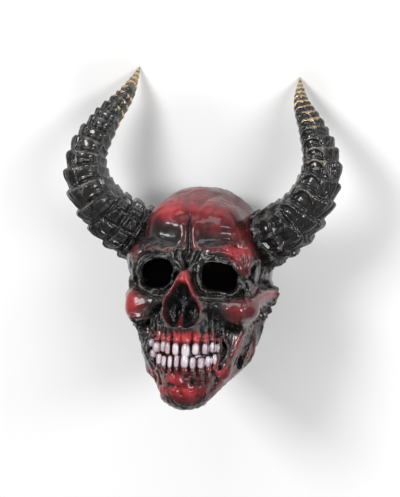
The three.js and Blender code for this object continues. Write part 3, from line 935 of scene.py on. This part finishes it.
def fine_wrinkles_group():
    """Fine upright wrinkles, where the clay was worked with a wire tool."""
    tree, given, out, where = shader_group("fine wrinkles", ("Width", "Amount"), ("Height",))
    drawn = vector_in(tree, "MULTIPLY", where, (1.0, 0.28, 0.5))
    lines = noise_in(tree, drawn, given["Width"], 2.0)
    feed(out, {"Height": crests_in(tree, lines, given["Amount"])})
    return tree


latex_grain, dry_brush_and_highlight, fine_wrinkles = latex_grain_group(), dry_brush_and_highlight_group(), fine_wrinkles_group()


def placed(tree, group, **values):
    """A group placed in a material with its own values. A name's underscores stand for spaces."""
    inputs = {name.replace("_", " "): value for name, value in values.items()}
    return add_node(tree, "ShaderNodeGroup", inputs, node_tree=group).outputs


def bumped(tree, shader, *layers):
    """Fine relief in the shading. Each layer is a height, its depth in metres and its strength."""
    below = {}
    for height, depth, strength in layers:
        inputs = {"Height": height, "Distance": depth, "Strength": strength, **below}
        below = {"Normal": add_node(tree, "ShaderNodeBump", inputs).outputs[0]}
    feed(shader, below)


# Red latex under black spray, teeth in off-white, and a brushed gloss over it all. The pale grey on the
# ridges of the black is partly dry brush and partly painted highlight.
CRIMSON, CRIMSON_DARK = (0.165, 0.011, 0.016), (0.095, 0.008, 0.012)
BRIGHT_RED, PINK_RED = (0.38, 0.017, 0.024), (0.48, 0.060, 0.068)
BLACK, SOFT_BLACK, WORN_AND_HIGHLIGHT_GREY = (0.006, 0.006, 0.0065), (0.015, 0.014, 0.014), (0.075, 0.068, 0.064)
ENAMEL, ENAMEL_SHADE = (0.62, 0.555, 0.60), (0.40, 0.28, 0.33)
GLOSS = {"Specular IOR Level": 0.22, "Coat Roughness": 0.09}

latex, tree, shader = new_material("painted latex, red and black")
feel = placed(tree, latex_grain, Pore_Size=0.0011, Cloud_Size=0.016, Smooth=0.22, Rough=0.46)
# The grey on the proud ridges is partly dry brush and partly painted highlight.
worn_and_highlight = placed(tree, dry_brush_and_highlight, Proud=mask_node(tree, "proud"), Start=0.42, Full=0.9,
              Streak_Size=0.006, Broken=0.5)
red = coats_on(tree, CRIMSON_DARK, (feel["Clouds"], CRIMSON))
lively = coats_on(tree, BRIGHT_RED, (feel["Clouds"], PINK_RED))
black = coats_on(tree, BLACK, (feel["Clouds"], SOFT_BLACK), (worn_and_highlight["Mask"], WORN_AND_HIGHLIGHT_GREY))
enamel = coats_on(tree, ENAMEL, (feel["Clouds"], ENAMEL_SHADE))
base = coats_on(tree, red, (mask_node(tree, "bright"), lively), (mask_node(tree, "black_and_shade"), black),
                (mask_node(tree, "tooth"), enamel), (mask_node(tree, "black_inside"), BLACK))
feed(shader, {"Base Color": base, "Roughness": feel["Roughness"],
              "Coat Weight": mask_node(tree, "coat"), **GLOSS})
wrinkles = placed(tree, fine_wrinkles, Width=0.0042, Amount=mask_node(tree, "wrinkled"))
bumped(tree, shader, (feel["Height"], 0.0004, 0.35), (wrinkles["Height"], 0.0008, 0.5))
skull.data.materials.append(latex)
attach(skull, "root")
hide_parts("skull_skin")

# The horns. Two horns of ringed cups, one stacked in the next, each cast as a thin latex skin round
# light foam and glued on at the temple. The front of each cup has a sunk panel under an arched lid,
# and the outer side is combed into long strands.
HORN_LINE = [(52, 62, -8), (82, 77, 4), (113, 98, 17), (135, 128, 24), (142, 163, 19), (126.5, 205, 2),
             (107, 240, -20), HORN_TIP]
HORN_ROOT_RADIUS = 34.5
HORN_RINGS = 20.5
HORN_RING_DEPTH = 0.17
HORN_FLATNESS = 2.5
HORN_TURN = math.radians(25)
HORN_TAPER = (1.5, 0.85)
HORN_SHIFT, DRIFT_FROM = 2.0, 150
HORN_AROUND, HORN_ALONG, HORN_SPANS = 176, 520, 24
RING_LIFT = [(0, 0.0), (0.12, 0.10), (0.45, 0.50), (0.72, 0.93), (0.80, 1.0), (0.86, 0.96), (0.95, 0.28),
             (1, 0.0)]
RING_FADE = [(0, 0.7), (0.25, 0.85), (0.55, 1.0), (0.9, 1.0), (0.97, 0.8), (1, 0.2)]


def curve_in(tree, value, corners):
    """A drawn curve from one number to another."""
    node = tree.nodes.new("ShaderNodeFloatCurve")
    line = node.mapping.curves[0]
    line.points[0].location, line.points[1].location = corners[0], corners[-1]
    for corner in corners[1:-1]:
        line.points.new(*corner)
    node.mapping.update()
    tree.links.new(value, node.inputs["Value"])
    return node.outputs[0]


def scaled_in(tree, vector, scale):
    inputs = {0: vector, "Scale": scale}
    return add_node(tree, "ShaderNodeVectorMath", inputs, operation="SCALE").outputs[0]


def horn_tree():
    """Turns a curve into a horn of rings: a cylinder is bent along the curve."""
    tree = bpy.data.node_groups.new("ringed horn", "GeometryNodeTree")
    for kind, names in (
            ("Geometry", ("Middle Line",)),
            ("Float", ("Root Radius", "Rings", "Ring Depth", "Flatness", "Turn", "Hand", "Waver", "Seed")),
            ("Int", ("Steps Around", "Steps Along")),
            ("Material", ("Paint",))):
        for name in names:
            tree.interface.new_socket(name, in_out="INPUT", socket_type="NodeSocket" + kind)
    tree.interface.new_socket("Horn", in_out="OUTPUT", socket_type="NodeSocketGeometry")
    given = tree.nodes.new("NodeGroupInput").outputs

    def calc(operation, *values):
        return math_in(tree, operation, *values)

    barrel = add_node(tree, "GeometryNodeMeshCylinder", {
        "Vertices": given["Steps Around"], "Side Segments": given["Steps Along"],
        "Depth": 1, "Radius": 1}, fill_type="TRIANGLE_FAN")
    place = tree.nodes.new("GeometryNodeInputPosition").outputs[0]
    px, py, pz = add_node(tree, "ShaderNodeSeparateXYZ", {0: place}).outputs
    along = calc("MINIMUM", calc("MAXIMUM", calc("ADD", pz, 0.5), 0.0), 1.0)
    turn = calc("ARCTAN2", py, px)
    in_barrel = calc("SQRT", calc("ADD", calc("POWER", px, 2.0), calc("POWER", py, 2.0)))

    # The rings stand closer together towards the tip, and their spacing wavers a little.
    sway = add_node(tree, "ShaderNodeTexNoise", {
        "Vector": vector_in(tree, "MULTIPLY", place, (0.9, 0.9, 14.0)), "W": given["Seed"],
        "Scale": 1.0, "Detail": 2.0}, noise_dimensions="4D")
    near_tip = calc("POWER", along, 4.0)
    share = calc("ADD", calc("MULTIPLY", along, 0.71), calc("MULTIPLY", near_tip, 0.29))
    wave = calc("MULTIPLY", calc("SUBTRACT", sway.outputs[0], 0.5), given["Waver"])
    ring_place = calc("ADD", calc("MULTIPLY", share, given["Rings"]), wave)

    # Each ring swells and drops, deeper on the outer side and at the tip, on a squarish taper.
    lift = curve_in(tree, calc("FRACT", ring_place), RING_LIFT)
    bulge = calc("ADD", 0.74, calc("MULTIPLY", calc("SINE", turn), 0.30))
    bulge = calc("MULTIPLY", bulge, calc("ADD", 1.0, calc("MULTIPLY", near_tip, 0.8)))
    depth = calc("MULTIPLY", given["Ring Depth"], bulge, curve_in(tree, along, RING_FADE))
    sunk = calc("SUBTRACT", 1.0, calc("MULTIPLY", depth, calc("SUBTRACT", 1.0, lift)))
    thinned = calc("SUBTRACT", 1.0, calc("POWER", along, HORN_TAPER[0]))
    taper = calc("POWER", calc("MAXIMUM", thinned, 0.0), HORN_TAPER[1])
    corner = calc("SUBTRACT", turn, given["Turn"])
    powers = [calc("POWER", calc("ABSOLUTE", calc(wave_kind, corner)), given["Flatness"])
              for wave_kind in ("COSINE", "SINE")]
    square = calc("POWER", calc("ADD", *powers), calc("DIVIDE", -1.0, given["Flatness"]))
    fuller = calc("ADD", 1.0, calc("MULTIPLY", calc("SINE", turn), 0.04))
    radius = calc("MULTIPLY", given["Root Radius"], taper, sunk, square, fuller, in_barrel)

    # The barrel is bent along the middle line, with its front kept to the front.
    line = add_node(tree, "GeometryNodeSampleCurve", {
        "Curves": given["Middle Line"], "Factor": along}, mode="FACTOR")
    tangent = line.outputs["Tangent"]
    forward = (0.0, 0.0, 1.0)
    lean = vector_in(tree, "DOT_PRODUCT", tangent, forward, output=1)
    upright = vector_in(tree, "SUBTRACT", forward, scaled_in(tree, tangent, lean))
    front = vector_in(tree, "NORMALIZE", upright)
    side = vector_in(tree, "CROSS_PRODUCT", tangent, front)
    sideways = calc("MULTIPLY", calc("SINE", turn), given["Hand"])
    bent = line.outputs["Position"]
    for way, share_of in ((front, calc("COSINE", turn)), (side, sideways)):
        bent = vector_in(tree, "ADD", bent, scaled_in(tree, way, calc("MULTIPLY", share_of, radius)))

    body = barrel.outputs["Mesh"]
    for name, value in (("along", along), ("turn", turn), ("ring_place", ring_place), ("lift", lift)):
        inputs = {"Geometry": body, "Name": name, "Value": value}
        keep = add_node(tree, "GeometryNodeStoreNamedAttribute", inputs, data_type="FLOAT", domain="POINT")
        body = keep.outputs[0]
    for kind, inputs in (
            ("SetPosition", {"Position": bent}), ("MergeByDistance", {"Distance": 0.01}),
            ("RealizeInstances", {}), ("SetMaterial", {"Material": given["Paint"]})):
        body = add_node(tree, "GeometryNode" + kind, {0: body, **inputs}).outputs[0]
    add_node(tree, "NodeGroupOutput", {0: body})
    return tree


horn_nodes = horn_tree()


def horn_carving(along, turn, ring_place, places):
    """The carving on a horn: its height as a share of the radius there, its raised edges, and where
    and how strongly it is combed."""
    # Each ring has a number of its own, so that no two are alike. Part runs from 0 to 1 up a ring.
    degrees = np.degrees(turn)
    ring = np.floor(ring_place)
    part = ring_place - ring
    own = (np.sin(ring * 12.9) * 43758.5) % 1.0
    middle = ramp(along, 0.20, 0.30) * (1 - ramp(along, 0.84, 0.93))
    root = 1 - ramp(along, 0.22, 0.32)
    tip = ramp(along, 0.80, 0.92)

    # The middle stretch: a sunk panel between two posts, under an arched lid, with a crease beside it.
    across = (degrees + 10 + 8 * (own - 0.5)) / (25 + 5 * own)
    lid = 0.86 - 0.38 * np.minimum(across ** 2, 1.4) - 0.05 * own
    sunk = ramp(1 - np.abs(across), 0, 0.16) * ramp(lid - part, 0, 0.10) * ramp(part, 0.03, 0.14)
    arch = bump(part, lid + 0.04, 0.042) * ramp(1.12 - np.abs(across), 0, 0.12) * ramp(part, 0.1, 0.3)
    post = bump(np.abs(across), 1.08, 0.08) * ramp(part, 0.05, 0.2) * (1 - ramp(part, 0.72, 0.88))
    panels = -0.11 * sunk + 0.07 * arch + 0.035 * bump(part, 0.30, 0.14) * sunk + 0.05 * post
    crease = -0.07 * bump(degrees, -46 + 3 * np.sin(ring_place * 2.1), 3.2)
    beads = -0.08 * bump(np.minimum(part, 1 - part), 0.02, 0.14) * bump(degrees, -58, 9)
    fold = 0.05 * bump(degrees, 27 + 18 * (0.5 - part), 3.0) * ramp(part, 0.0, 0.2)

    # The outer side, combed into long strands.
    outer = ramp(degrees, 22, 36) + (1 - ramp(degrees, -160, -140))
    sweep = degrees / 6.5 + 1.6 * np.sin(ring_place * 1.7) + 2.2 * (part - 0.5) ** 2
    comb_place = np.stack([sweep, ring_place * 0.9, 0 * degrees], axis=-1)
    strands = ridges(comb_place, 1.0, (1, 1, 1), 2) - 0.5
    combed = (0.046 + 0.014 * root) * strands * outer

    # The root: blocks in raised frames.
    cell_edges = np.array([-100, -64, -28, 8, 42, 74]) + 14 * (own[:, None] - 0.5)
    gap = np.abs(degrees[:, None] - cell_edges).min(axis=1)
    up_gap = np.minimum(part + 0.05, 1.03 - part) * 34
    border = np.minimum(gap, up_gap)
    inner = 1 - ramp(degrees, 44, 66)
    frame_edge = bump(border, 0, 3.0)
    blocks = 0.075 * frame_edge - 0.08 * ramp(border, 4, 9) + 0.045 * bump(border, 15, 5)
    blocks *= inner

    # The tip is pitted, and all of it is a little uneven.
    pits = ridges(np.stack([degrees / 14, ring_place * 2.6, 0 * degrees], axis=-1), 1.0) - 0.5
    height = middle * (panels + crease + beads + fold) + root * (blocks + 0.5 * crease)
    height += combed * (1 - tip) * ramp(along, 0.0, 0.05) + tip * 0.07 * pits
    height += 0.012 * grain(places, 9) + 0.004 * (ridges(places, 4) - 0.5)
    edges = middle * (arch + 0.6 * post + 0.7 * bump(part, 0.83, 0.05)) + 0.6 * root * inner * frame_edge
    return height, np.clip(edges, 0, 1), sweep, np.clip(outer * (1 - tip) + 0.35 * root, 0, 1)


def read_mask(mesh, name):
    values = np.empty(len(mesh.vertices), dtype=np.float32)
    mesh.attributes[name].data.foreach_get("value", values)
    return values.astype(np.float64)


def combed_group():
    """Hair-fine strands that follow the combing of a horn."""
    tree, given, out, _ = shader_group("combed strands", ("Across", "Along", "Amount"), ("Height",))
    across = math_in(tree, "MULTIPLY", given["Across"], 1.5)
    along = math_in(tree, "MULTIPLY", given["Along"], 1.1)
    place = add_node(tree, "ShaderNodeCombineXYZ", {0: across, 1: along})
    strands = noise_in(tree, place.outputs[0], 1.0, 3.0)
    feed(out, {"Height": crests_in(tree, strands, given["Amount"])})
    return tree


HORN_BROWN_AND_HIGHLIGHT, GILT = (0.16, 0.14, 0.115), (0.60, 0.44, 0.22)

horn_paint, tree, shader = new_material("painted latex, black and gold")
feel = placed(tree, latex_grain, Pore_Size=0.0012, Cloud_Size=0.02, Smooth=0.2, Rough=0.42)
# The brown on the raised edges is partly worn paint and partly painted highlight.
rubbed = placed(tree, dry_brush_and_highlight, Proud=mask_node(tree, "brown"), Start=0.25, Full=0.85,
                Streak_Size=0.005, Broken=0.9)
gilt = placed(tree, dry_brush_and_highlight, Proud=mask_node(tree, "gold"), Start=0.3, Full=0.7,
              Streak_Size=0.0035, Broken=0.7)
base = coats_on(tree, BLACK, (feel["Clouds"], SOFT_BLACK), (rubbed["Mask"], HORN_BROWN_AND_HIGHLIGHT),
                (gilt["Mask"], GILT))
feed(shader, {"Base Color": base, "Metallic": gilt["Mask"], "Roughness": feel["Roughness"],
              "Coat Weight": 0.85, **GLOSS})
strands = placed(tree, combed_group(), Across=mask_node(tree, "across"),
                 Along=mask_node(tree, "ring_place"), Amount=mask_node(tree, "combed"))
wrinkles = placed(tree, fine_wrinkles, Width=0.007, Amount=mask_node(tree, "wrinkled"))
bumped(tree, shader, (feel["Height"], 0.0004, 0.35), (wrinkles["Height"], 0.0016, 0.6),
       (strands["Height"], 0.0030, 0.9))

# The root of each horn is cut to the outside of the skull, a little way in.
root_cut = make_mesh("root cut", *skin_from(outside + 1.2))


def make_horn(name, hand, seed, tip_shift):
    """A horn. Its tip is a little off its twin's mirror image."""
    line = bpy.data.curves.new(name, "CURVE")
    line.dimensions = "3D"
    path = smooth_path([(hand * x, y, z) for x, y, z in HORN_LINE], HORN_SPANS)
    spline = line.splines.new("POLY")
    spline.points.add(len(path) - 1)
    for point, place in zip(spline.points, path):
        point.co = (*place, 1)
    bent = add_object(name + " line", line)
    maker = bent.modifiers.new("horn", "NODES")
    maker.node_group = horn_nodes
    sizes = {"Root Radius": HORN_ROOT_RADIUS, "Rings": HORN_RINGS, "Ring Depth": HORN_RING_DEPTH,
             "Flatness": HORN_FLATNESS, "Turn": HORN_TURN, "Hand": float(hand), "Waver": 0.5,
             "Seed": float(seed), "Steps Around": HORN_AROUND, "Steps Along": HORN_ALONG,
             "Paint": horn_paint}
    for item in horn_nodes.interface.items_tree:
        if item.in_out == "INPUT" and item.name in sizes:
            maker[item.identifier] = sizes[item.name]
    graph = bpy.context.evaluated_depsgraph_get()
    mesh = bpy.data.meshes.new_from_object(bent.evaluated_get(graph))
    bpy.data.objects.remove(bent)
    horn = add_object(name, mesh)

    # The carving stands on the rings. It moves each point along its normal.
    places = coordinates(horn)
    along, turn, ring_place = (read_mask(mesh, n) for n in ("along", "turn", "ring_place"))
    height, edges, sweep, combed = horn_carving(along, turn, ring_place, places + 50 * seed)
    taper = np.maximum(1 - np.clip(along, 0, 1) ** HORN_TAPER[0], 0) ** HORN_TAPER[1]
    radius = HORN_ROOT_RADIUS * taper
    normal = np.empty(len(places) * 3, dtype=np.float32)
    mesh.vertex_normals.foreach_get("vector", normal)
    fade = ramp(1 - along, 0, 0.01) * ramp(along, 0, 0.01)
    places += normal.reshape(-1, 3) * (height * (radius + 2) * fade)[:, None]
    set_places(mesh, places)

    # The paint: worn brown and gold on what stands proud, all gold towards the tip. The brown on the
    # raised edges is partly painted highlight.
    relief = HORN_RING_DEPTH * (read_mask(mesh, "lift") - 0.5) + height
    patch = grain(places, 22) + 0.5 * grain(places, 5)
    brown = edges * (0.25 + 0.45 * ramp(patch, -0.4, 0.5))
    brown += 0.5 * ramp(relief + 0.05 * patch, 0.03, 0.12) * ramp(patch + 0.7 * along, 0.1, 0.9)
    brown = np.maximum(brown, 0.55 * ramp(along + 0.05 * patch, 0.74, 0.9))
    speckle = grain(places, 3.2, (1, 1, 1), 2)
    gold = 0.30 + 0.5 * ramp(relief + 0.05 * patch, -0.05, 0.05) + 0.5 * speckle
    gold *= ramp(along + 0.04 * patch, 0.85, 0.93)
    on_edges = ramp(along, 0.55, 0.78) * ramp(relief + 0.04 * patch, 0.03, 0.08)
    gold += on_edges * ramp(patch, -0.35, 0.25) * 0.85
    set_mask(horn, "brown", np.clip(brown, 0, 1))
    set_mask(horn, "gold", np.clip(gold, 0, 1))
    set_mask(horn, "across", sweep)
    inward = -np.degrees(turn)
    set_mask(horn, "wrinkled", 0.25 + 0.75 * ramp(inward, 45, 70) * (1 - ramp(inward, 140, 170)))
    set_mask(horn, "combed", combed * (1 - bump(np.abs(np.degrees(turn)), 180, 6)))

    # Both horns stand a little to the viewer's left, and the tip drifts its own way along the table.
    places[:, 0] -= HORN_SHIFT * ramp(along, 0.04, 0.12)
    far = np.clip((places[:, 1] - DRIFT_FROM) / (HORN_TIP[1] - DRIFT_FROM), 0, 1) ** 1.5
    places += far[:, None] * np.array([tip_shift[0], tip_shift[1], tip_shift[1] * math.tan(REST_TILT)])
    set_places(mesh, places)
    trim = horn.modifiers.new("root", "BOOLEAN")
    trim.operation = "DIFFERENCE"
    trim.solver = "MANIFOLD"
    trim.object = root_cut
    with_modifiers_applied(horn)
    turned_outwards(horn)
    laid_down(horn)
    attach(horn, "root")
    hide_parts(name.replace("_painted", ""))


make_horn("horn_left_hand_painted", 1, 3, (1.5, -3.5))
make_horn("horn_right_hand_painted", -1, 8, (-2.5, 3.5))
bpy.data.objects.remove(root_cut)

# The table. A plain pale top, matt, that the mask lies on. It is wide enough that its edges never show.
TABLE_SIZE = 8
bpy.ops.mesh.primitive_plane_add(size=TABLE_SIZE, location=(0, 0, 0))
floor = bpy.context.object
floor.name = "floor"
PALE, PALE_SHADE = (0.86, 0.86, 0.86), (0.84, 0.84, 0.84)
pale, tree, shader = new_material("pale floor")
feel = placed(tree, latex_grain, Pore_Size=0.003, Cloud_Size=0.6, Smooth=0.85, Rough=0.95)
feed(shader, {"Base Color": coats_on(tree, PALE, (feel["Clouds"], PALE_SHADE)),
              "Roughness": feel["Roughness"]})
floor.data.materials.append(pale)

# The camera looks down on the lying mask from the photograph's angle: turned and rolled a little, at
# the photograph's scale. Places are in millimetres and upright until it is laid down with the mask.
VIEW_YAW, VIEW_ROLL = math.radians(13), math.radians(3)
VIEW_DISTANCE = 2200.0
PIXEL_SIZE, FACE_DEPTH = 1.15, 85.0
SENSOR = 36
IMAGE = (400, 497)
EYES_ORIGIN = (200.8, 300.0)
right = Vector((math.cos(VIEW_YAW), 0, -math.sin(VIEW_YAW)))
up = Vector((0, 1, 0))
back = Vector((math.sin(VIEW_YAW), 0, math.cos(VIEW_YAW)))
off_x = (IMAGE[0] / 2 - EYES_ORIGIN[0]) * PIXEL_SIZE
off_y = (EYES_ORIGIN[1] - IMAGE[1] / 2) * PIXEL_SIZE
rolled_right = right * math.cos(VIEW_ROLL) + up * math.sin(VIEW_ROLL)
rolled_up = up * math.cos(VIEW_ROLL) - right * math.sin(VIEW_ROLL)
place = rolled_right * off_x + rolled_up * off_y + back * VIEW_DISTANCE
tilt = Matrix.Rotation(-REST_TILT, 3, "X")
camera_data = bpy.data.cameras.new("camera")
camera = add_object("camera", camera_data)
turned = Matrix([tilt @ rolled_right, tilt @ rolled_up, tilt @ back]).transposed().to_4x4()
camera.matrix_world = Matrix.Translation(Vector(lay_down([place])[0])) @ turned
camera_data.sensor_width = SENSOR
camera_data.lens = SENSOR * (VIEW_DISTANCE - FACE_DEPTH) / (IMAGE[1] * PIXEL_SIZE)
camera_data.clip_end = 20
bpy.context.scene.camera = camera


# Plain soft studio light: a key, a fill, a light beyond the crown and one before the chin, which
# doesn't show in the gloss.
LIT_PLACE = Vector((0, 0, 0.1))


def soft_light(name, place, size, power, mirrored=True):
    data = bpy.data.lights.new(name, "AREA")
    data.shape = "RECTANGLE"
    data.size, data.size_y = size
    data.energy = power
    lamp = add_object(name, data)
    lamp.location = place
    lamp.visible_glossy = mirrored
    lamp.rotation_euler = (LIT_PLACE - Vector(place)).to_track_quat("-Z", "Y").to_euler()


soft_light("key", (-1.7, 1.6, 2.9), (1.1, 1.3), 78)
soft_light("fill", (2.1, 0.8, 2.3), (0.7, 1.6), 42)
soft_light("top", (0.1, 2.6, 1.7), (2.0, 1.1), 24)
soft_light("front", (0.6, -1.9, 2.5), (1.2, 1.0), 26, mirrored=False)
world = bpy.data.worlds.new("studio")
bpy.context.scene.world = world
world.use_nodes = True
feed(world.node_tree.nodes["Background"], {"Color": (1, 1, 1, 1), "Strength": 0.26})
bpy.context.scene.view_settings.view_transform = "Standard"
